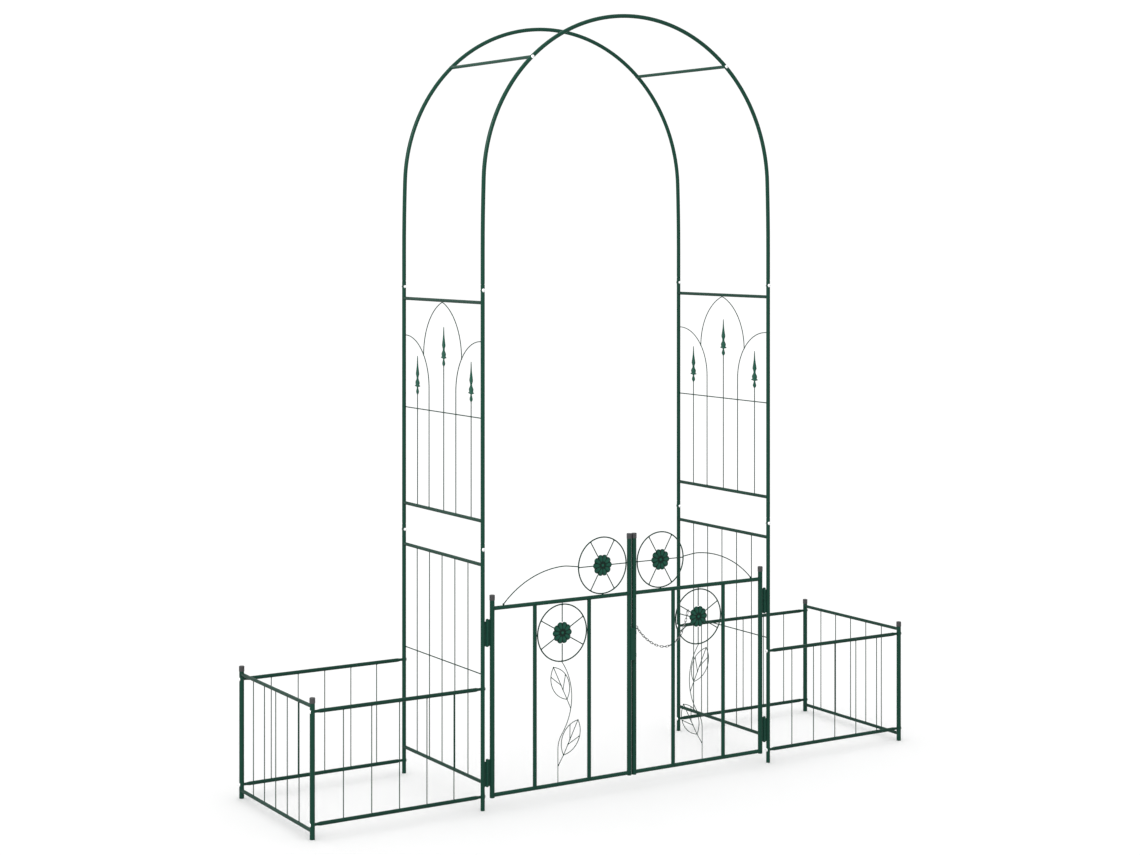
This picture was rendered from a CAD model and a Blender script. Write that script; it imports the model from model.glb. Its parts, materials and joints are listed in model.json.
"""Looks of a green steel garden arch with wire trellises, planter frames and a double gate.

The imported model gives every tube, wire and bolt its shape. This file dresses them in powder
coat, zinc and plastic, casts the flowers and spears in full relief, lays the weld beads where
the wires and bars meet, and sets up a plain studio.
"""

import json
import logging
import math
import random
from dataclasses import dataclass, field
from enum import Enum

import bmesh
import bpy
from mathutils import Matrix, Vector


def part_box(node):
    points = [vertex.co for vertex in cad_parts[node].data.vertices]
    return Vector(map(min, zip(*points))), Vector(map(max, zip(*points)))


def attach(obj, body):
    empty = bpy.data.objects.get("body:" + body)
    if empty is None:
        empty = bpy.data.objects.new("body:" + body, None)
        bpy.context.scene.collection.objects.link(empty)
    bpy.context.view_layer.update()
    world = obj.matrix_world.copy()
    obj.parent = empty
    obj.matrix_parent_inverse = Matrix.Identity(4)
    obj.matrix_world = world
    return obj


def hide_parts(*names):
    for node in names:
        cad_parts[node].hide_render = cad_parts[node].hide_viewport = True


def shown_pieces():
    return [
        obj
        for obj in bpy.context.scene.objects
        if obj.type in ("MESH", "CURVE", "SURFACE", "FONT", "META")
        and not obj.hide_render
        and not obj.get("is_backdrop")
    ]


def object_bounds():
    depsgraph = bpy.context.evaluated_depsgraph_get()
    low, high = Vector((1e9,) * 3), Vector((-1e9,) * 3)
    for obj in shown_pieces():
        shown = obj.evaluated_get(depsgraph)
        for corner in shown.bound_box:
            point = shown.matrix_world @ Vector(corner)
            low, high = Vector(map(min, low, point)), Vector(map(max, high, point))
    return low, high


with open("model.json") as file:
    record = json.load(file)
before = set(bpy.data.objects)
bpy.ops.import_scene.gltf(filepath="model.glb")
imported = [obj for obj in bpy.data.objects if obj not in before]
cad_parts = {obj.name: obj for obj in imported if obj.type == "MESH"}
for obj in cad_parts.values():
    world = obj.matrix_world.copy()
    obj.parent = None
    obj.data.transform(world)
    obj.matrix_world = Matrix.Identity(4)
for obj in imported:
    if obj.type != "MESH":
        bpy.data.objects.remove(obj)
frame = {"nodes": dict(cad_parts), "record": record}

LOG = logging.getLogger("garden_arch")
MM = 0.001
SEED = 41
ROUND = 2.0 * math.pi
NOISE_SPAN = (0.3, 0.7)
RELIEF = "relief"

X = Vector((1.0, 0.0, 0.0))
Y = Vector((0.0, 1.0, 0.0))
Z = Vector((0.0, 0.0, 1.0))

Row = list[Vector]
Box = tuple[Vector, Vector]
Colour = tuple[float, float, float]
Tree = bpy.types.NodeTree
Node = bpy.types.Node
Socket = bpy.types.NodeSocket
Material = bpy.types.Material
Object = bpy.types.Object


class Body(Enum):
    """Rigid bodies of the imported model."""

    ARCH = "arch"
    LEFT_GATE = "left_gate"
    RIGHT_GATE = "right_gate"


class Side(Enum):
    """Side of the arch as seen from the gate, with its sign along X."""

    LEFT = ("left", -1, Body.LEFT_GATE)
    RIGHT = ("right", 1, Body.RIGHT_GATE)

    def __init__(self, label: str, sign: int, gate: Body) -> None:
        """Keeps the side's name, sign and gate body.

        Args:
            label: the word that the names of this side's nodes begin with.
            sign: -1 on the left and 1 on the right.
            gate: body of the gate leaf on this side.
        """
        self.label = label
        self.sign = sign
        self.gate = gate


class Face(Enum):
    """Front or back of the arch, as the names of nodes say it."""

    FRONT = "front"
    BACK = "back"


# ---------------------------------------------------------------- finishes


@dataclass
class Graph:
    """Node tree of one material, with the steps that finishes share.

    Attributes:
        tree: the node tree.
        shader: its main shader.
        place: its texture coordinates.
    """

    tree: Tree
    shader: Node
    place: Node

    def noise(self, size: float, detail: float = 2.0) -> Socket:
        """Adds a noise texture in object space.

        Args:
            size: size of the noise's cells, in metres.
            detail: octaves of finer noise.

        Returns:
            The noise's value.
        """
        node = self.tree.nodes.new("ShaderNodeTexNoise")
        node.inputs["Scale"].default_value = 1.0 / size
        node.inputs["Detail"].default_value = detail
        self.tree.links.new(self.place.outputs["Object"], node.inputs["Vector"])
        return node.outputs["Fac"]

    def ramp(self, source: Socket, low: Colour, high: Colour,
             ends: tuple[float, float] = NOISE_SPAN) -> Socket:
        """Spreads a value between two colours.

        Args:
            source: value to spread.
            low: colour at the low end.
            high: colour at the high end.
            ends: values at which the low and high ends lie.

        Returns:
            The colour output.
        """
        node = self.tree.nodes.new("ShaderNodeValToRGB")
        node.color_ramp.elements[0].position, node.color_ramp.elements[1].position = ends
        node.color_ramp.elements[0].color = (*low, 1.0)
        node.color_ramp.elements[1].color = (*high, 1.0)
        self.tree.links.new(source, node.inputs["Fac"])
        return node.outputs["Color"]

    def multiply(self, base: Socket, other: Socket, share: float = 1.0) -> None:
        """Makes the product of two colours the shader's base colour.

        Args:
            base: first colour.
            other: colour that it is multiplied by.
            share: how far the second colour counts, from 0 to 1.
        """
        mix = self.tree.nodes.new("ShaderNodeMix")
        mix.data_type = "RGBA"
        mix.blend_type = "MULTIPLY"
        mix.inputs["Factor"].default_value = share
        self.tree.links.new(base, mix.inputs["A"])
        self.tree.links.new(other, mix.inputs["B"])
        self.tree.links.new(mix.outputs["Result"], self.shader.inputs["Base Color"])

    def base_colour(self) -> Socket:
        """Socket that feeds the shader's base colour so far."""
        return self.shader.inputs["Base Color"].links[0].from_socket

    def set_shader(self, name: str, value: float) -> None:
        """Sets one input of the shader."""
        self.shader.inputs[name].default_value = value


@dataclass(frozen=True)
class Finish:
    """What every finish shares: its slot in the record and the texture of its surface.

    Attributes:
        slot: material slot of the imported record.
        colour: linear base colour.
        tone: linear colour that the base drifts towards in soft patches.
        drift: how far the colour drifts, from 0 to 1.
        roughness: lowest and highest roughness.
        grain: size of the finest surface grain, in metres.
        relief: height of that grain, in metres.
        metallic: 1 for bare metal and 0 for paint or plastic.
        patch: size of the soft patches, in metres.
        speckle: size of the speckle, in grains.
        speckle_shade: brightness of the darkest speckle.
        cloud: size of the duller and glossier clouds, in metres.
        swell: size of the slow swell under the grain, in grains.
        bump: strength of the grain and the swell.
    """

    slot: str
    colour: Colour
    tone: Colour
    drift: float
    roughness: tuple[float, float]
    grain: float
    relief: float
    metallic: float = 0.0
    patch: float = 0.09
    speckle: float = 1.7
    speckle_shade: float = 0.86
    cloud: float = 0.012
    swell: float = 9.0
    bump: float = 0.6

    def material(self) -> Material:
        """Builds the node material.

        Returns:
            The finished material, named after its slot.
        """
        mat = bpy.data.materials.new(self.slot)
        mat.use_nodes = True
        tree = mat.node_tree
        graph = Graph(tree, tree.nodes["Principled BSDF"], tree.nodes.new("ShaderNodeTexCoord"))
        graph.set_shader("Metallic", self.metallic)
        self.paint(graph)
        self.gloss(graph)
        self.surface(graph)
        self.extras(graph)
        return mat

    def paint(self, graph: Graph) -> None:
        """Gives the base colour its soft patches and its fine speckle.

        Args:
            graph: node tree that takes the colour.
        """
        drifted = tuple(c + (t - c) * self.drift for c, t in zip(self.colour, self.tone))
        broad = graph.ramp(graph.noise(self.patch, 3.0), self.colour, drifted)
        fine = graph.ramp(graph.noise(self.grain * self.speckle, 1.0),
                          (self.speckle_shade,) * 3, (1.0, 1.0, 1.0))
        graph.multiply(broad, fine)

    def gloss(self, graph: Graph) -> None:
        """Lets the roughness wander between its two ends.

        Args:
            graph: node tree that takes the roughness.
        """
        spread = graph.tree.nodes.new("ShaderNodeMapRange")
        spread.inputs["From Min"].default_value = NOISE_SPAN[0]
        spread.inputs["From Max"].default_value = NOISE_SPAN[1]
        spread.inputs["To Min"].default_value = self.roughness[0]
        spread.inputs["To Max"].default_value = self.roughness[1]
        graph.tree.links.new(graph.noise(self.cloud, 3.0), spread.inputs["Value"])
        graph.tree.links.new(spread.outputs["Result"], graph.shader.inputs["Roughness"])

    def surface(self, graph: Graph) -> None:
        """Raises the fine grain over a slow swell.

        Args:
            graph: node tree that takes the bumps.
        """
        both = graph.tree.nodes.new("ShaderNodeMath")
        both.operation = "ADD"
        graph.tree.links.new(graph.noise(self.grain, 2.0), both.inputs[0])
        graph.tree.links.new(graph.noise(self.grain * self.swell, 1.0), both.inputs[1])
        bump = graph.tree.nodes.new("ShaderNodeBump")
        bump.inputs["Strength"].default_value = self.bump
        bump.inputs["Distance"].default_value = self.relief
        graph.tree.links.new(both.outputs["Value"], bump.inputs["Height"])
        graph.tree.links.new(bump.outputs["Normal"], graph.shader.inputs["Normal"])

    def extras(self, graph: Graph) -> None:
        """Sets what only some finishes have."""


@dataclass(frozen=True)
class PowderCoat(Finish):
    """Baked powder coat: satin, with a clear skin and the slight texture of orange peel.

    Attributes:
        skin: weight of the clear skin.
        skin_roughness: roughness of the clear skin.
        specular: strength of the pigment's own reflection.
    """

    skin: float = 0.04
    skin_roughness: float = 0.22
    specular: float = 0.11

    def extras(self, graph: Graph) -> None:
        """Adds the clear skin on top of the pigment.

        Args:
            graph: node tree that takes the skin.
        """
        graph.set_shader("Coat Weight", self.skin)
        graph.set_shader("Coat Roughness", self.skin_roughness)
        graph.set_shader("Specular IOR Level", self.specular)


@dataclass(frozen=True)
class CastCoat(PowderCoat):
    """Powder coat on a casting, thin and dark in the hollows and full on the ridges.

    Attributes:
        hollow: brightness of the pigment in the deepest hollow.
        crest: brightness of the pigment on the highest ridge.
    """

    hollow: float = 0.12
    crest: float = 2.2

    def extras(self, graph: Graph) -> None:
        """Darkens the pigment by the casting's own depth at each point.

        Args:
            graph: node tree that takes the pigment.
        """
        super().extras(graph)
        depth = graph.tree.nodes.new("ShaderNodeAttribute")
        depth.attribute_name = RELIEF
        shade = graph.ramp(depth.outputs["Fac"], (self.hollow,) * 3, (self.crest,) * 3, (0.0, 1.0))
        graph.multiply(graph.base_colour(), shade)


@dataclass(frozen=True)
class ZincPlate(Finish):
    """Zinc plating, with the fine turned lines of a formed fastener.

    Attributes:
        line_width: size of the wave that draws the lines, in metres.
        waver: how far the lines waver.
        contrast: how far the lines count against the plating's colour.
        specular: strength of the reflection.
        brushed: how far the reflection stretches along the lines.
    """

    line_width: float = 0.0006 * 20.0
    waver: float = 1.5
    contrast: float = 0.12
    specular: float = 0.6
    brushed: float = 0.2

    def extras(self, graph: Graph) -> None:
        """Adds faint bands of brighter and duller plating.

        Args:
            graph: node tree that takes the bands.
        """
        bands = graph.tree.nodes.new("ShaderNodeTexWave")
        bands.wave_type = "RINGS"
        bands.inputs["Scale"].default_value = 1.0 / self.line_width
        bands.inputs["Distortion"].default_value = self.waver
        graph.tree.links.new(graph.place.outputs["Object"], bands.inputs["Vector"])
        graph.set_shader("Specular IOR Level", self.specular)
        graph.set_shader("Anisotropic", self.brushed)
        graph.multiply(graph.base_colour(), bands.outputs["Color"], self.contrast)


GREEN = (0.0034, 0.0370, 0.0225)
WIRE_GREEN = (0.0024, 0.0270, 0.0165)
CAST_GREEN = (0.0034, 0.0400, 0.0250)
PALE_GREEN = (0.0060, 0.0480, 0.0300)
CASTING = CastCoat("cast_relief", CAST_GREEN, PALE_GREEN, drift=0.5,
                   roughness=(0.36, 0.52), grain=0.0013, relief=0.00006)
FINISHES = (
    CASTING,
    PowderCoat("green_tube", GREEN, PALE_GREEN, drift=0.35,
               roughness=(0.34, 0.46), grain=0.0011, relief=0.00004),
    PowderCoat("green_wire", WIRE_GREEN, PALE_GREEN, drift=0.3,
               roughness=(0.38, 0.52), grain=0.0009, relief=0.00003),
    PowderCoat("green_casting", CAST_GREEN, PALE_GREEN, drift=0.5,
               roughness=(0.40, 0.58), grain=0.0013, relief=0.00009),
    Finish("grey_cap", (0.0260, 0.0280, 0.0285), (0.0380, 0.0400, 0.0410), drift=0.5,
           roughness=(0.5, 0.68), grain=0.0006, relief=0.00005),
    ZincPlate("zinc_bolt", (0.88, 0.89, 0.89), (0.78, 0.80, 0.81), drift=0.4,
              roughness=(0.30, 0.42), grain=0.0007, relief=0.00002, metallic=0.35),
    ZincPlate("dull_zinc", (0.13, 0.14, 0.135), (0.22, 0.23, 0.23), drift=0.6,
              roughness=(0.38, 0.55), grain=0.0005, relief=0.00003, metallic=0.6),
)


@dataclass
class PaintShop:
    """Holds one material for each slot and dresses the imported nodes.

    Attributes:
        materials: the material of each finish, by the finish's slot.
    """

    materials: dict[str, Material] = field(default_factory=dict)

    def mix(self) -> None:
        """Builds every material once."""
        for finish in FINISHES:
            self.materials[finish.slot] = finish.material()
            LOG.info("finish %s mixed", finish.slot)

    def dress_nodes(self) -> None:
        """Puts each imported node's own finish on it."""
        for part in frame["record"]["subparts"]:
            node = frame["nodes"][part["node"]]
            node.data.materials.clear()
            node.data.materials.append(self.materials[part["material_slot"]])


# ---------------------------------------------------------------- mesh building


@dataclass
class Sketch:
    """Mesh under construction, made of closed grids of points.

    Attributes:
        points: the mesh's corners.
        faces: the corners that each face joins.
        relief: how full the coat lies at each corner, which only castings have.
    """

    points: list[Vector] = field(default_factory=list)
    faces: list[tuple[int, ...]] = field(default_factory=list)
    relief: list[float] = field(default_factory=list)

    def loop(self, rows: list[Row], around: bool = True, end_caps: bool = False) -> None:
        """Adds a grid of points whose rows are closed rings.

        Args:
            rows: rings of points, all of one length.
            around: whether the last row joins the first, which makes a torus.
            end_caps: whether a face closes the first and the last ring.
        """
        first = len(self.points)
        n = len(rows[0])
        for row in rows:
            self.points.extend(row)
        for i in range(len(rows) if around else len(rows) - 1):
            a = first + i * n
            b = first + ((i + 1) % len(rows)) * n
            for j in range(n):
                k = (j + 1) % n
                self.faces.append((a + j, a + k, b + k, b + j))
        if end_caps:
            self.faces.append(tuple(first + j for j in reversed(range(n))))
            last = first + (len(rows) - 1) * n
            self.faces.append(tuple(last + j for j in range(n)))

    def piece(self, name: str, material: Material, slot: str, body: Body) -> Object:
        """Turns the sketch into an object that rides on a body.

        Args:
            name: name of the piece.
            material: its material.
            slot: the record's slot that it takes its finish from.
            body: the body that it moves with.

        Returns:
            The new object.
        """
        mesh = bpy.data.meshes.new(name)
        mesh.from_pydata([tuple(p) for p in self.points], [], self.faces)
        if self.relief:
            layer = mesh.attributes.new(RELIEF, "FLOAT", "POINT")
            layer.data.foreach_set("value", self.relief)
        built = bmesh.new()
        built.from_mesh(mesh)
        bmesh.ops.recalc_face_normals(built, faces=built.faces)
        built.to_mesh(mesh)
        built.free()
        mesh.shade_smooth()
        mesh.materials.append(material)
        obj = bpy.data.objects.new(name, mesh)
        bpy.context.scene.collection.objects.link(obj)
        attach(obj, body.value)
        LOG.info("%s: %d faces on %s", name, len(mesh.polygons), body.value)
        return obj


def solids(node: str) -> list[Box]:
    """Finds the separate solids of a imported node.

    Args:
        node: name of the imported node.

    Returns:
        The lowest and highest corner of each solid, from the lowest solid up.
    """
    built = bmesh.new()
    built.from_mesh(frame["nodes"][node].data)
    bmesh.ops.remove_doubles(built, verts=built.verts, dist=1e-6)
    unseen = set(built.verts)
    boxes = []
    while unseen:
        heap = [unseen.pop()]
        found = list(heap)
        while heap:
            for edge in heap.pop().link_edges:
                for vert in edge.verts:
                    if vert in unseen:
                        unseen.remove(vert)
                        heap.append(vert)
                        found.append(vert)
        low = Vector(min(v.co[k] for v in found) for k in range(3))
        high = Vector(max(v.co[k] for v in found) for k in range(3))
        boxes.append((low, high))
    built.free()
    return sorted(boxes, key=lambda b: (round(b[0].z, 4), round(b[0].y, 4)))


def middle(box: Box) -> Vector:
    """Middle of a box given by its two corners."""
    return (box[0] + box[1]) / 2.0


# ---------------------------------------------------------------- weld beads


@dataclass(frozen=True)
class Joint:
    """Kind of joint where a bar or wire stands on a larger tube.

    Attributes:
        base_r: radius of the larger tube.
        top_r: radius of the bar or wire.
        bead: leg length of the bead.
        steps: points round the bead.
    """

    base_r: float
    top_r: float
    bead: float
    steps: int = 14


WIRE_R = 1.35 * MM
BAR_R = 5.0 * MM
LEG_R = 6.0 * MM
POST_R = 7.0 * MM
RAIL_R = 5.5 * MM
STILE_R = 7.0 * MM
GATE_BAR_R = 5.8 * MM

BAR_ON_LEG = Joint(LEG_R, BAR_R, 1.7 * MM, 22)
BAR_ON_POST = Joint(POST_R, BAR_R, 1.7 * MM, 22)
WIRE_ON_BAR = Joint(BAR_R, WIRE_R, 1.1 * MM)
WIRE_ON_RAIL = Joint(RAIL_R, WIRE_R, 1.1 * MM)
RAIL_ON_STILE = Joint(STILE_R, GATE_BAR_R, 1.6 * MM, 22)
BAR_ON_RAIL = Joint(GATE_BAR_R, GATE_BAR_R * 0.96, 1.5 * MM, 22)


def mm(x: float, y: float, z: float) -> Vector:
    """Point or half size given in millimetres."""
    return Vector((x * MM, y * MM, z * MM))


@dataclass
class Welder:
    """Lays the small irregular beads where wires and bars are welded together.

    Attributes:
        shop: where the materials come from.
        profile: how far out and how high each ring of a fillet lies, in bead sizes.
        uneven: how far a fillet's size wanders, as a share.
        sunk: how deep a fillet starts under the tube's surface.
        core: radius of a fillet's hidden inner ring, in bar radii.
        core_height: height of that ring, in radii of the larger tube.
        drop_rings: rings of points in a drop.
        drop_uneven: how far a drop's size wanders, as a share.
        rng: seeded source of each bead's unevenness.
    """

    shop: PaintShop
    profile: tuple[tuple[float, float], ...] = (
        (1.0, 0.0), (0.55, 0.16), (0.2, 0.5), (0.0, 1.05), (-0.25, 0.9),
    )
    uneven: float = 0.28
    sunk: float = 0.05 * MM
    core: float = 0.55
    core_height: float = 0.6
    drop_rings: int = 5
    drop_uneven: float = 0.12
    rng: random.Random = field(default_factory=lambda: random.Random(SEED))

    def fillet(self, sketch: Sketch, joint: Joint, root: Vector, up: Vector, along: Vector) -> None:
        """Runs a bead round the foot of a wire or bar that stands on a larger tube.

        Args:
            sketch: mesh that takes the bead.
            joint: kind of joint.
            root: point on the larger tube's axis.
            up: direction in which the smaller bar leaves.
            along: direction of the larger tube's axis.
        """
        side = up.cross(along)
        steps = joint.steps
        rough = [joint.bead * (1.0 + self.uneven * self.rng.uniform(-1.0, 1.0))
                 for _ in range(steps)]
        swell = [(rough[i - 1] + 2.0 * rough[i] + rough[(i + 1) % steps]) / 4.0
                 for i in range(steps)]
        turns = [ROUND * i / steps for i in range(steps)]
        core_r = self.core * joint.top_r
        rings: list[Row] = []
        for reach, rise in self.profile:
            ring = []
            for size, turn in zip(swell, turns):
                r = max(joint.top_r + reach * size, core_r)
                out = along * (r * math.cos(turn)) + side * (r * math.sin(turn))
                across = min(abs(r * math.sin(turn)), 0.98 * joint.base_r)
                height = math.sqrt(joint.base_r * joint.base_r - across * across)
                ring.append(root + out + up * (height + rise * size - self.sunk))
            rings.append(ring)
        rings.append([root + along * (core_r * math.cos(turn)) + side * (core_r * math.sin(turn))
                      + up * (self.core_height * joint.base_r) for turn in turns])
        sketch.loop(rings)

    def blob(self, sketch: Sketch, centre: Vector, reach: Vector, steps: int = 10) -> None:
        """Sets an uneven drop of weld where two wires cross.

        Args:
            sketch: mesh that takes the drop.
            centre: middle of the crossing.
            reach: half size of the drop along X, Y and Z.
            steps: points round the drop.
        """
        rows: list[Row] = []
        for j in range(1, self.drop_rings + 1):
            tilt = math.pi * j / (self.drop_rings + 1)
            row = []
            for i in range(steps):
                turn = ROUND * i / steps
                k = 1.0 + self.drop_uneven * self.rng.uniform(-1.0, 1.0)
                row.append(centre + Vector((
                    reach.x * k * math.sin(tilt) * math.cos(turn),
                    reach.y * k * math.sin(tilt) * math.sin(turn),
                    reach.z * k * math.cos(tilt))))
            rows.append(row)
        sketch.loop(rows, around=False, end_caps=True)

    def finish(self, sketch: Sketch, name: str, body: Body) -> None:
        """Turns a sketch of beads into a coated piece on a body."""
        sketch.piece(name, self.shop.materials["green_wire"], "green_wire", body)


@dataclass
class SidePanels:
    """Beads of the lower and upper trellis panel on one side of the arch.

    The wires stand a little to the right of the legs' middle plane, each kind by its own amount.

    Attributes:
        side: which side of the arch.
        lower_pitch: spacing of the lower panel's wires.
        upper_pitch: spacing of the upper panel's wires.
        lower_cross: height of the lower panel's cross wire.
        upper_cross: height of the upper panel's cross wire.
        lower_right: how far right the lower cross wire meets the uprights.
        arch_right: how far right the arched wires stand.
        stem_right: how far right the spears' stems stand.
        arch_cross_right: how far right the upper cross wire meets the arched wires.
        stem_cross_right: how far right the upper cross wire meets the stems.
        arch_foot: how far the arched wires' lower beads lie under the bar's top.
        stem_foot: how far the stems' lower beads lie under the bar's top.
        tip_gap: how far the arch's top bead lies under the upper bar.
        shoulder_y: how far from the middle the arch meets the legs.
        shoulder_z: height at which the arch meets the legs.
    """

    side: Side
    lower_pitch: float = 78.5 * MM
    upper_pitch: float = 82.8 * MM
    lower_cross: float = 381.6 * MM
    upper_cross: float = 1102.0 * MM
    lower_right: float = 1.2 * MM
    arch_right: float = 0.8 * MM
    stem_right: float = 5.2 * MM
    arch_cross_right: float = 2.0 * MM
    stem_cross_right: float = 4.3 * MM
    arch_foot: float = 0.2 * MM
    stem_foot: float = 2.6 * MM
    tip_gap: float = 0.8 * MM
    shoulder_y: float = 237.2 * MM
    shoulder_z: float = 1318.0 * MM

    def lay(self, welder: Welder) -> None:
        """Lays the beads of both panels.

        Args:
            welder: who lays them.
        """
        leg = middle(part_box(f"{self.side.label}_front_lower_leg"))
        sketch = Sketch()
        for panel in ("lower", "upper"):
            low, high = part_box(f"{self.side.label}_{panel}_side_panel")
            for z in (low.z + BAR_R, high.z - BAR_R):
                for sign in (-1.0, 1.0):
                    root = Vector((leg.x, sign * abs(leg.y), z))
                    welder.fillet(sketch, BAR_ON_LEG, root, Y * -sign, Z)
        self.lay_lower(welder, sketch, leg.x)
        self.lay_upper(welder, sketch, leg.x)
        welder.finish(sketch, f"{self.side.label}_panel_welds", Body.ARCH)

    def lay_lower(self, welder: Welder, sketch: Sketch, x: float) -> None:
        """Lays the beads on the lower panel's wires.

        Args:
            welder: who lays them.
            sketch: mesh that takes them.
            x: the legs' middle plane.
        """
        low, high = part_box(f"{self.side.label}_lower_side_panel")
        for i in range(-2, 3):
            y = i * self.lower_pitch
            welder.fillet(sketch, WIRE_ON_BAR, Vector((x, y, low.z + BAR_R)), Z, Y)
            welder.fillet(sketch, WIRE_ON_BAR, Vector((x, y, high.z - BAR_R)), -Z, Y)
            welder.blob(sketch, Vector((x + self.lower_right, y, self.lower_cross)),
                        mm(2.1, 2.0, 2.0))

    def lay_upper(self, welder: Welder, sketch: Sketch, x: float) -> None:
        """Lays the beads on the upper panel's wires.

        Args:
            welder: who lays them.
            sketch: mesh that takes them.
            x: the legs' middle plane.
        """
        low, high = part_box(f"{self.side.label}_upper_side_panel")
        for i in range(-2, 3):
            y = i * self.upper_pitch
            stem = i % 2 == 0
            foot = low.z + 2.0 * BAR_R - (self.stem_foot if stem else self.arch_foot)
            right = self.stem_right if stem else self.arch_right
            welder.blob(sketch, Vector((x + right, y, foot)), mm(1.9, 2.4, 1.8))
            right = self.stem_cross_right if stem else self.arch_cross_right
            welder.blob(sketch, Vector((x + right, y, self.upper_cross)), mm(2.0, 2.0, 2.0))
        tip_z = high.z - 2.0 * BAR_R - self.tip_gap
        welder.blob(sketch, Vector((x + self.arch_right, 0.0, tip_z)), mm(2.2, 3.4, 1.8))
        for sign in (-1.0, 1.0):
            place = Vector((x + self.arch_right, sign * self.shoulder_y, self.shoulder_z))
            welder.blob(sketch, place, mm(2.0, 1.6, 2.2))


@dataclass
class PlanterFrame:
    """Beads of the planter frame on one side of the arch.

    Attributes:
        side: which side of the arch.
        end_pitch: spacing of the wires in the outer end.
        long_pitch: spacing of the wires in the long sides.
    """

    side: Side
    end_pitch: float = 78.5 * MM
    long_pitch: float = 84.5 * MM

    def lay(self, welder: Welder) -> None:
        """Lays the beads of the end grille and the two long sides.

        Args:
            welder: who lays them.
        """
        sketch = Sketch()
        low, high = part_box(f"{self.side.label}_planter_end_grille")
        x = (low.x + high.x) / 2.0
        post_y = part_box(f"{self.side.label}_planter_posts")[1].y - POST_R
        for z, up in ((low.z + BAR_R, Z), (high.z - BAR_R, -Z)):
            for sign in (-1.0, 1.0):
                root = Vector((x, sign * post_y, z))
                welder.fillet(sketch, BAR_ON_POST, root, Y * -sign, Z)
            for i in range(-2, 3):
                welder.fillet(sketch, WIRE_ON_BAR, Vector((x, i * self.end_pitch, z)), up, Y)
        for face in Face:
            low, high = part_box(f"{self.side.label}_{face.value}_planter_side")
            centre = (low.x + high.x) / 2.0
            y = (low.y + high.y) / 2.0
            for z, up in ((low.z + RAIL_R, Z), (high.z - RAIL_R, -Z)):
                for i in range(-2, 3):
                    root = Vector((centre + i * self.long_pitch, y, z))
                    welder.fillet(sketch, WIRE_ON_RAIL, root, up, X)
        welder.finish(sketch, f"{self.side.label}_planter_welds", Body.ARCH)


@dataclass
class GateLeaf:
    """Beads of one gate leaf.

    Attributes:
        side: which side of the arch.
        bars: distances of the inner bars from the middle of the arch.
        hinge_half: half thickness of the hinge plates.
        seam_out: how far outside the tube a seam lies.
        seam_proud: how far a seam stands out from the plate's face.
        seam_inset: how far a seam stops short of the plate's ends.
        ripples: drops in one seam.
        ripple_reach: half height of a drop, in drop spacings.
    """

    side: Side
    bars: tuple[float, float] = (330.0 * MM, 147.3 * MM)
    hinge_half: float = 1.25 * MM
    seam_out: float = 0.2 * MM
    seam_proud: float = 0.3 * MM
    seam_inset: float = 2.0 * MM
    ripples: int = 9
    ripple_reach: float = 0.62

    def lay(self, welder: Welder) -> None:
        """Lays the beads of the rails, bars and hinge plates.

        Args:
            welder: who lays them.
        """
        label, sign = self.side.label, self.side.sign
        sketch = Sketch()
        low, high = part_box(f"{label}_gate_grille")
        hinge = middle(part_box(f"{label}_gate_hinge_stile"))
        latch = middle(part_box(f"{label}_gate_latch_stile"))
        for z, up in ((low.z + GATE_BAR_R, Z), (high.z - GATE_BAR_R, -Z)):
            for stile, way in ((hinge, -sign), (latch, sign)):
                root = Vector((stile.x, hinge.y, z))
                welder.fillet(sketch, RAIL_ON_STILE, root, X * way, Z)
            for x in self.bars:
                welder.fillet(sketch, BAR_ON_RAIL, Vector((sign * x, hinge.y, z)), up, X)
        for plate in solids(f"{label}_hinge_gate_leaves"):
            x = hinge.x + sign * (STILE_R + self.seam_out)
            self.seam(welder, sketch, x, hinge.y, plate)
        welder.finish(sketch, f"{label}_gate_welds", self.side.gate)
        self.lay_on_leg(welder)

    def lay_on_leg(self, welder: Welder) -> None:
        """Lays the seams that hold the hinge leaves on the leg.

        Args:
            welder: who lays them.
        """
        label, sign = self.side.label, self.side.sign
        leg = middle(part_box(f"{label}_front_lower_leg"))
        sketch = Sketch()
        for plate in solids(f"{label}_hinge_leg_leaves"):
            self.seam(welder, sketch, leg.x - sign * (LEG_R + self.seam_out), leg.y, plate)
        welder.finish(sketch, f"{label}_hinge_welds", Body.ARCH)

    def seam(self, welder: Welder, sketch: Sketch, x: float, y: float, plate: Box) -> None:
        """Lays two rippled seams along a hinge plate, one on each face.

        Args:
            welder: who lays them.
            sketch: mesh that takes them.
            x: where the plate meets the tube.
            y: the plate's middle plane.
            plate: lowest and highest corner of the plate.
        """
        foot, head = plate[0].z + self.seam_inset, plate[1].z - self.seam_inset
        reach = Vector((1.1 * MM, 1.0 * MM, self.ripple_reach * (head - foot) / self.ripples))
        for face in (-1.0, 1.0):
            for i in range(self.ripples):
                z = foot + (head - foot) * (i + 0.5) / self.ripples
                centre = Vector((x, y + face * (self.hinge_half + self.seam_proud), z))
                welder.blob(sketch, centre, reach)


# ---------------------------------------------------------------- castings


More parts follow.
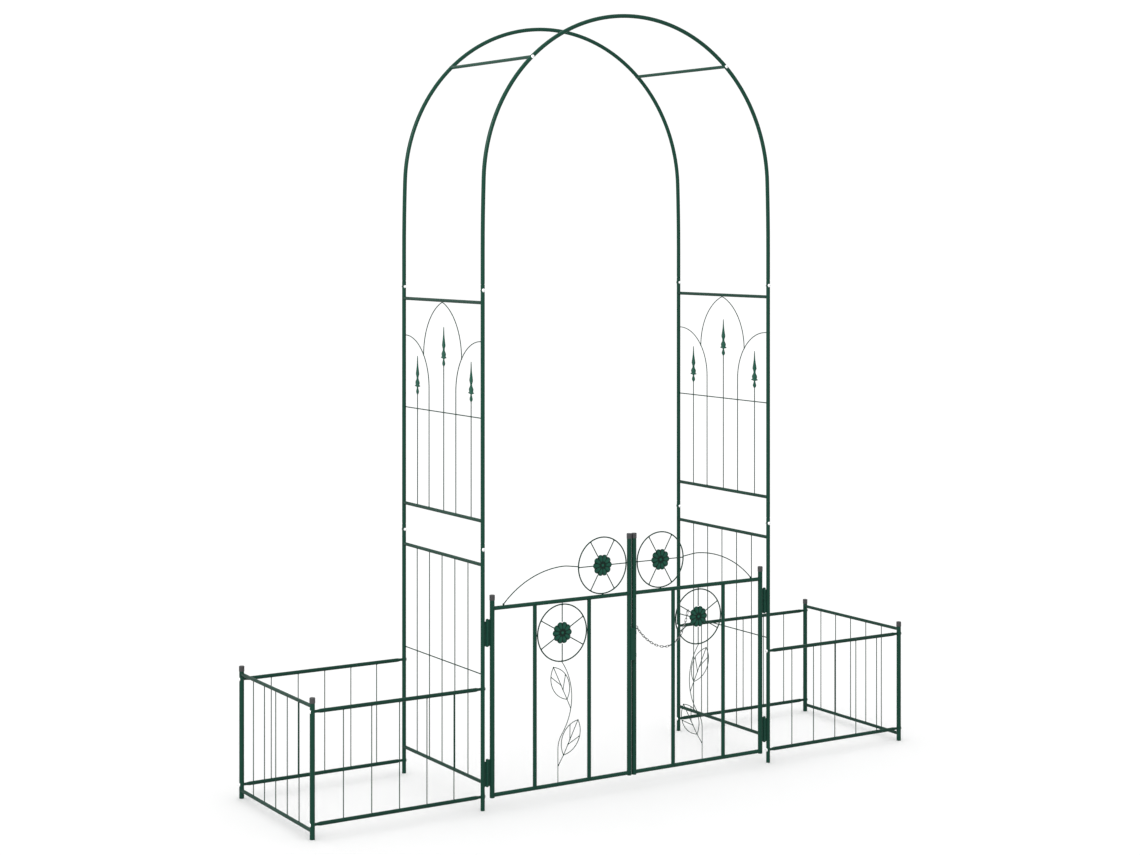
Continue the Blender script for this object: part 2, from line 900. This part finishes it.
@dataclass
class CastFlower:
    """Round cast flower in relief on both faces, with a boss in a hollow and ribbed petals.

    Attributes:
        petals: number of petals.
        steps: points round each petal.
        boss: radius of the boss as a share of the flower's.
        hollow: radius of the hollow's edge as a share of the flower's.
        crest: radius where the petals stand highest, as a share of the flower's.
        dip: how far the outline dips between petals.
        floor: height of the boss's foot and the hollow's inner edge, in depths.
        boss_rise: how far the boss rises above that, in depths.
        hollow_depth: how deep the hollow sinks, in depths.
        lip: how far the hollow's outer edge rises again, in depths.
        inner: height of the petals at the hollow, in depths.
        rim: height of the petals at the outline, in depths.
        groove: depth of the grooves between petals at the hollow, in depths.
        groove_growth: how much deeper they are at the outline, in depths.
        rib: height of the ribs on the petals, in depths.
        least: least height anywhere on the petals, in depths.
        boss_coat: how full the coat lies on top of the boss, from 0 to 1.
        boss_fade: how much of that is lost at the boss's foot.
        hollow_coat: how full the coat lies in the hollow.
        petal_coat: how full the coat lies on a petal between its ribs.
        rib_coat: how much fuller it lies on the ribs.
        groove_coat: how much thinner it lies in the grooves.
        shares: where the rings of points lie, from the centre to the outline.
    """

    petals: int = 10
    steps: int = 16
    boss: float = 0.15
    hollow: float = 0.30
    crest: float = 0.58
    dip: float = 0.13
    floor: float = 0.50
    boss_rise: float = 0.42
    hollow_depth: float = 0.22
    lip: float = 0.12
    inner: float = 0.62
    rim: float = 0.30
    groove: float = 0.34
    groove_growth: float = 0.36
    rib: float = 0.07
    least: float = 0.14
    boss_coat: float = 0.9
    boss_fade: float = 0.6
    hollow_coat: float = 0.12
    petal_coat: float = 0.50
    rib_coat: float = 0.65
    groove_coat: float = 0.55
    shares: tuple[float, ...] = (
        0.02, 0.05, 0.08, 0.11, 0.135, 0.15, 0.17, 0.2, 0.235, 0.27, 0.30, 0.33, 0.37,
        0.42, 0.48, 0.54, 0.60, 0.66, 0.72, 0.78, 0.83, 0.88, 0.92, 0.955, 0.98, 1.0,
    )

    def height(self, share: float, turn: float, depth: float) -> float:
        """Height of the flower's face.

        Args:
            share: distance from the centre, from 0 to 1.
            turn: angle round the centre.
            depth: greatest height.

        Returns:
            The height above the flower's middle plane.
        """
        lobe = abs(math.cos(self.petals * turn / 2.0))
        if share < self.boss:
            dome = math.sqrt(max(0.0, 1.0 - (share / self.boss) ** 2))
            return depth * (self.floor + self.boss_rise * dome)
        if share < self.hollow:
            t = (share - self.boss) / (self.hollow - self.boss)
            sink = math.sin(math.pi * min(1.0, t * 1.1))
            return depth * (self.floor - self.hollow_depth * sink + self.lip * t * t)
        t = (share - self.hollow) / (1.0 - self.hollow)
        peak = (self.crest - self.hollow) / (1.0 - self.hollow)
        body = 1.0 - ((t - peak) / (1.0 - peak if t > peak else peak)) ** 2
        if t > peak:
            base = self.rim + (1.0 - self.rim) * math.sqrt(max(body, 0.0))
        else:
            base = self.inner + (1.0 - self.inner) * body
        groove = (1.0 - lobe) ** 1.3 * (self.groove + self.groove_growth * t)
        rib = self.rib * math.cos(3.0 * self.petals * turn) * math.sin(math.pi * min(1.0, t))
        return depth * max(self.least, base - groove + rib)

    def cast(self, sketch: Sketch, box: Box) -> None:
        """Casts one flower that fills a box, facing along Y.

        Args:
            sketch: mesh that takes it.
            box: lowest and highest corner of the flower.
        """
        centre = middle(box)
        radius = (box[1].z - box[0].z) / 2.0
        depth = (box[1].y - box[0].y) / 2.0
        count = self.petals * self.steps
        shares = list(self.shares)
        front = [self.ring(centre, radius, depth, share, count, -1.0) for share in shares]
        back = [self.ring(centre, radius, depth, share, count, 1.0) for share in shares[::-1]]
        sketch.loop(front + back, around=False, end_caps=True)
        for share in shares + shares[::-1]:
            sketch.relief.extend(self.tint(share, ROUND * i / count) for i in range(count))

    def tint(self, share: float, turn: float) -> float:
        """How full the coat lies at a point.

        Args:
            share: distance from the centre, from 0 to 1.
            turn: angle round the centre.

        Returns:
            A value from 0 in the hollows to 1 on the ridges.
        """
        lobe = abs(math.cos(self.petals * turn / 2.0))
        if share < self.boss:
            return self.boss_coat - self.boss_fade * (share / self.boss) ** 3
        if share < self.hollow:
            return self.hollow_coat
        t = (share - self.hollow) / (1.0 - self.hollow)
        rib = (0.5 + 0.5 * math.cos(3.0 * self.petals * turn)) ** 3
        petal = self.petal_coat + self.rib_coat * rib * math.sin(math.pi * min(1.0, 0.15 + t))
        petal -= self.groove_coat * (1.0 - lobe) ** 1.5
        return max(0.0, min(1.0, 0.2 + t * 4.0) * petal)

    def ring(self, centre: Vector, radius: float, depth: float, share: float, count: int,
             face: float) -> Row:
        """One ring of the flower's surface.

        Args:
            centre: middle of the flower.
            radius: outer radius.
            depth: half thickness.
            share: distance from the centre, from 0 to 1.
            count: points in the ring.
            face: -1 for the front and 1 for the back.

        Returns:
            The ring's points.
        """
        row = []
        for i in range(count):
            turn = ROUND * i / count
            lobe = abs(math.cos(self.petals * turn / 2.0)) ** 0.6
            reach = radius * share * (1.0 - self.dip * (1.0 - lobe) * share * share)
            y = face * self.height(share, turn, depth)
            row.append(centre + Vector((reach * math.cos(turn), y, reach * math.sin(turn))))
        return row


@dataclass
class GateFlowers:
    """The two cast flowers of one gate leaf.

    Attributes:
        side: which side of the arch.
        shape: the flower that both are cast from.
    """

    side: Side
    shape: CastFlower = field(default_factory=CastFlower)

    def build(self, shop: PaintShop) -> None:
        """Casts both flowers in place of the plain packed ones.

        Args:
            shop: where the materials come from.
        """
        node = f"{self.side.label}_gate_flowers"
        sketch = Sketch()
        for box in solids(node):
            self.shape.cast(sketch, box)
        piece = sketch.piece(f"{self.side.label}_cast_flowers", shop.materials[CASTING.slot],
                             "green_casting", self.side.gate)
        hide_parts(node)


@dataclass
class CastSpears:
    """The three cast spears of one side panel.

    Attributes:
        side: which side of the arch.
        outline: half width at each height from the foot, in millimetres.
        ridge: half thickness along the middle.
        edge: half thickness at the edge.
        slope: how fast the thickness grows with the half width.
        stout: greatest half thickness, in half widths.
        coat: how full the coat lies on the edges.
        ridge_coat: how much fuller it lies on the ridge.
        steps: points round the spear.
    """

    side: Side
    outline: tuple[tuple[float, float], ...] = (
        (0.0, 1.6), (0.8, 2.6), (2.5, 4.6), (5.0, 7.2), (7.5, 8.4), (10.0, 8.1), (13.0, 6.6),
        (16.0, 4.7), (19.5, 3.4), (21.6, 3.3), (22.4, 5.5), (23.4, 11.0), (24.6, 16.2),
        (25.6, 17.4), (26.6, 15.8), (27.8, 12.0), (29.5, 10.8), (32.0, 12.2), (35.0, 13.0),
        (38.0, 12.2), (41.0, 9.6), (44.0, 6.8), (47.0, 5.2), (50.0, 4.8), (53.0, 5.8),
        (56.5, 8.0), (60.0, 9.9), (62.5, 9.9), (66.0, 8.9), (72.0, 7.2), (80.0, 5.0),
        (88.0, 3.1), (96.0, 2.1), (106.0, 1.2), (113.0, 0.7), (115.0, 0.35),
    )
    ridge: float = 2.5 * MM
    edge: float = 1.2 * MM
    slope: float = 0.26
    stout: float = 1.5
    coat: float = 0.45
    ridge_coat: float = 0.3
    steps: int = 28

    def build(self, shop: PaintShop) -> None:
        """Casts the spears in place of the plain packed ones.

        Args:
            shop: where the materials come from.
        """
        node = f"{self.side.label}_spear_finials"
        sketch = Sketch()
        for box in solids(node):
            self.cast(sketch, box)
        piece = sketch.piece(f"{self.side.label}_cast_spears", shop.materials[CASTING.slot],
                             "green_casting", Body.ARCH)
        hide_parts(node)

    def cast(self, sketch: Sketch, box: Box) -> None:
        """Casts one spear that stands in a box, flat across X.

        Args:
            sketch: mesh that takes it.
            box: lowest and highest corner of the spear.
        """
        foot = Vector(((box[0].x + box[1].x) / 2.0, (box[0].y + box[1].y) / 2.0, box[0].z))
        stretch = (box[1].z - box[0].z) / self.outline[-1][0]
        rows: list[Row] = []
        for height, half in self.outline:
            width = half * MM
            ridge = min(self.ridge, self.edge + self.slope * width)
            row = []
            for i in range(self.steps):
                turn = ROUND * i / self.steps
                across = math.copysign(abs(math.cos(turn)) ** 0.7, math.cos(turn))
                thick = self.edge + (ridge - self.edge) * (1.0 - abs(across))
                x = math.copysign(abs(math.sin(turn)) ** 0.4, math.sin(turn))
                x *= min(thick, self.stout * width)
                row.append(foot + Vector((x, width * across, height * stretch)))
                sketch.relief.append(self.coat + self.ridge_coat * (1.0 - abs(across)))
            rows.append(row)
        sketch.loop(rows, around=False, end_caps=True)


# ---------------------------------------------------------------- studio


@dataclass(frozen=True)
class Softbox:
    """Large square lamp aimed at a point.

    Attributes:
        name: what it is for.
        place: where it hangs.
        aim: what it faces.
        size: its width and height.
        watts: its power.
    """

    name: str
    place: tuple[float, float, float]
    aim: tuple[float, float, float]
    size: tuple[float, float]
    watts: float

    def hang(self, lit: bpy.types.Collection) -> None:
        """Adds the lamp to the scene.

        Args:
            lit: what the lamp lights, which is everything but the floor.
        """
        lamp = bpy.data.lights.new(self.name, "AREA")
        lamp.shape = "RECTANGLE"
        lamp.size, lamp.size_y = self.size
        lamp.energy = self.watts
        obj = bpy.data.objects.new(self.name, lamp)
        obj.location = self.place
        way = Vector(self.aim) - Vector(self.place)
        obj.rotation_euler = way.to_track_quat("-Z", "Y").to_euler()
        obj.light_linking.receiver_collection = lit
        bpy.context.scene.collection.objects.link(obj)


@dataclass
class Studio:
    """Plain pale studio: floor, lamps, sky and camera.

    Attributes:
        floor_size: length of the floor's side.
        floor_gap: how far the floor lies under the feet.
        sky: strength of the sky's even light.
        lamps: the softboxes.
        eye: where the camera stands.
        turn: how far the camera is turned towards +X, in degrees.
        lens: focal length, in millimetres.
        sensor: width of the sensor, in millimetres.
        shift: shift of the lens across and up, as shares of the frame's width.
    """

    floor_size: float = 60.0
    floor_gap: float = 0.2 * MM
    sky: float = 1.06
    lamps: tuple[Softbox, ...] = (
        Softbox("key_softbox", (-3.8, -1.8, 3.7), (-0.2, 0.0, 2.0), (1.3, 1.3), 190.0),
        Softbox("fill_softbox", (5.0, -5.0, 2.2), (0.0, 0.0, 1.0), (3.5, 3.0), 8.0),
        Softbox("top_softbox", (-0.5, 0.8, 5.2), (0.0, 0.0, 0.0), (4.0, 3.0), 25.0),
        Softbox("back_softbox", (-2.5, 5.5, 3.0), (0.0, 0.0, 1.3), (3.0, 3.0), 15.0),
    )
    eye: tuple[float, float, float] = (-3.36263, -5.39669, 1.62576)
    turn: float = 32.449
    lens: float = 66.096
    sensor: float = 36.0
    shift: tuple[float, float] = (-0.03244, -0.17109)

    def build(self) -> None:
        """Builds the floor, the light and the camera."""
        self.lay_floor()
        lit = bpy.data.collections.new("lit_by_lamps")
        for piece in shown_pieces():
            lit.objects.link(piece)
        for lamp in self.lamps:
            lamp.hang(lit)
        self.light_sky()
        self.set_camera()
        bpy.context.scene.view_settings.view_transform = "Standard"

    def lay_floor(self) -> None:
        """Lays a wide matt floor just under the feet."""
        half = self.floor_size / 2.0
        corners = [(-half, -half, 0.0), (half, -half, 0.0), (half, half, 0.0), (-half, half, 0.0)]
        mesh = bpy.data.meshes.new("studio_floor")
        mesh.from_pydata(corners, [], [(0, 1, 2, 3)])
        mat = bpy.data.materials.new("studio_floor")
        mat.use_nodes = True
        shader = mat.node_tree.nodes["Principled BSDF"]
        shader.inputs["Base Color"].default_value = (1.0, 1.0, 1.0, 1.0)
        shader.inputs["Roughness"].default_value = 0.9
        shader.inputs["Specular IOR Level"].default_value = 0.0
        mesh.materials.append(mat)
        floor = bpy.data.objects.new("studio_floor", mesh)
        floor.location.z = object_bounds()[0][2] - self.floor_gap
        bpy.context.scene.collection.objects.link(floor)
        floor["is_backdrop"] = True

    def light_sky(self) -> None:
        """Fills the studio with even white light."""
        world = bpy.data.worlds.new("studio_light")
        world.use_nodes = True
        back = world.node_tree.nodes["Background"]
        back.inputs["Color"].default_value = (1.0, 1.0, 1.0, 1.0)
        back.inputs["Strength"].default_value = self.sky
        bpy.context.scene.world = world

    def set_camera(self) -> None:
        """Stands the camera level, at eye height, left of the gate."""
        camera = bpy.data.cameras.new("studio_camera")
        camera.sensor_width = self.sensor
        camera.lens = self.lens
        camera.shift_x, camera.shift_y = self.shift
        camera.clip_end = 200.0
        obj = bpy.data.objects.new("studio_camera", camera)
        obj.matrix_world = (Matrix.Translation(self.eye)
                            @ Matrix.Rotation(math.radians(-self.turn), 4, "Z")
                            @ Matrix.Rotation(math.radians(90.0), 4, "X"))
        bpy.context.scene.collection.objects.link(obj)
        bpy.context.scene.camera = obj


# ---------------------------------------------------------------- assembly


def main() -> None:
    """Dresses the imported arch, adds its castings and welds, and builds the studio."""
    logging.basicConfig(level=logging.INFO, format="%(message)s")
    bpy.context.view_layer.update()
    shop = PaintShop()
    shop.mix()
    shop.dress_nodes()
    for side in Side:
        GateFlowers(side).build(shop)
        CastSpears(side).build(shop)
    welder = Welder(shop)
    for side in Side:
        SidePanels(side).lay(welder)
        PlanterFrame(side).lay(welder)
        GateLeaf(side).lay(welder)
    Studio().build()


if __name__ == "__main__":
    main()
